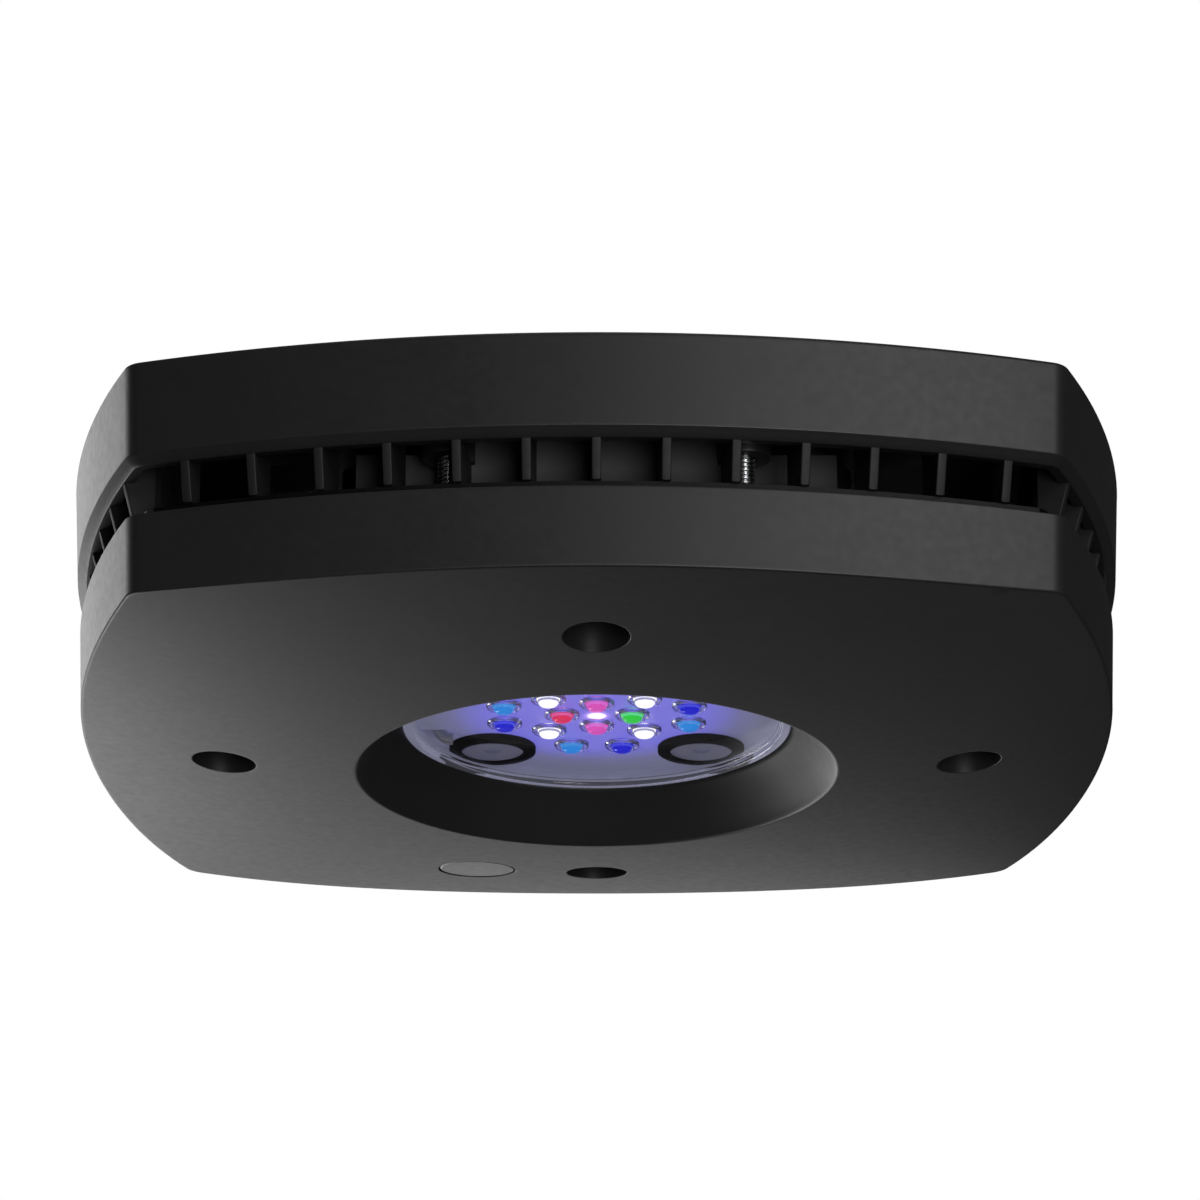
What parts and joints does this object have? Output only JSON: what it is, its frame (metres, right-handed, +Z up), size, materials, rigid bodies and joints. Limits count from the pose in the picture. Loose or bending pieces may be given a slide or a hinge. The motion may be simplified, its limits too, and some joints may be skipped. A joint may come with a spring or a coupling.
{
  "type": "led aquarium light",
  "caption": "Compact hanging aquarium light: black vented shells with bowed sides, coloured LEDs behind a clear puck in a conical recess, fan-cooled heatsink and a push button.",
  "frame": {"origin": "centre of the flat top plane, in the middle of the four mounting inserts", "axes": "+Z up, the light shines down -Z; -Y is the side with the power inlet, +Y the side with the push button"},
  "size_m": [0.1256, 0.1256, 0.0325],
  "materials": {
    "shell_black": "fine matte moulded black, faintly pebbled",
    "grille_black": "matte moulded black",
    "inner_black": "matte moulded black",
    "button_black": "smooth satin black",
    "jack_black": "semi-gloss black",
    "fan_black": "satin black glass-filled plastic",
    "brass": "machined brass",
    "bronze": "sintered bronze",
    "copper": "enamelled copper wire",
    "steel": "bright zinc plated steel",
    "clear_lens": "clear polished acrylic, slightly blue in use",
    "silicone_black": "black silicone rubber",
    "board_white": "white solder mask over aluminium",
    "led_white": "LED with clear dome, white light",
    "led_royal_blue": "LED with clear dome, royal blue light",
    "led_light_blue": "LED with clear dome, light blue light",
    "led_violet": "LED with clear dome, pink-violet light",
    "led_red": "LED with clear dome, red light",
    "led_green": "LED with clear dome, green light",
    "pad_grey": "soft thermal pad",
    "heatsink_black": "black anodised die-cast aluminium",
    "board_green": "green solder mask",
    "ferrite_grey": "moulded ferrite",
    "can_aluminium": "capacitor can",
    "chip_black": "epoxy package",
    "connector_cream": "nylon",
    "lamination_steel": "stamped laminations",
    "magnet_grey": "bonded ferrite magnet",
    "switch_white": "nylon",
    "shield_tin": "tinned shield can",
    "lead_red": "insulated lead",
    "lead_black": "insulated lead",
    "lead_white": "insulated lead",
    "lead_grey": "insulated lead"
  },
  "bodies": {
    "housing": {"bottom_cover": "shell_black", "top_cover": "shell_black", "intake_grille": "grille_black", "mount_inserts": "brass", "case_screws": "steel", "lens": "clear_lens", "lens_gasket": "silicone_black", "board_washers": "silicone_black", "led_board": "board_white", "leds_white": "led_white", "leds_royal_blue": "led_royal_blue", "leds_light_blue": "led_light_blue", "leds_violet": "led_violet", "led_red": "led_red", "led_green": "led_green", "thermal_pad": "pad_grey", "led_board_screws": "steel", "heatsink": "heatsink_black", "heatsink_screws": "steel", "inlet_holder": "inner_black", "holder_screws": "steel", "dc_jack": "jack_black", "dc_jack_pin": "steel", "dc_jack_contacts": "brass", "driver_board": "board_green", "driver_screws": "steel", "power_inductors": "ferrite_grey", "power_capacitors": "can_aluminium", "driver_chips": "chip_black", "board_connectors": "connector_cream", "fan_frame": "fan_black", "fan_screws": "steel", "fan_stator": "lamination_steel", "fan_coils": "copper", "fan_bearing": "bronze", "fan_circuit": "board_green", "switch_body": "chip_black", "control_board": "board_green", "control_screws": "steel", "wifi_module": "shield_tin", "lead_grommets": "silicone_black", "led_leads": "lead_white", "power_leads": "lead_black", "fan_leads": "lead_red", "control_leads": "lead_grey"},
    "rotor": {"fan_rotor": "fan_black", "fan_magnet": "magnet_grey", "fan_shaft": "steel"},
    "button": {"button_cap": "button_black", "switch_plunger": "switch_white"}
  },
  "joints": [
    {"name": "fan_spin", "type": "hinge", "parent": "housing", "child": "rotor", "pos_m": [0, 0, -0.009], "axis": [0, 0, 1], "continuous": true},
    {"name": "button_press", "type": "slide", "parent": "housing", "child": "button", "axis": [0, 0, 1], "range_m": [0, 0.0004], "stiffness_N_per_m": 2500}
  ]
}
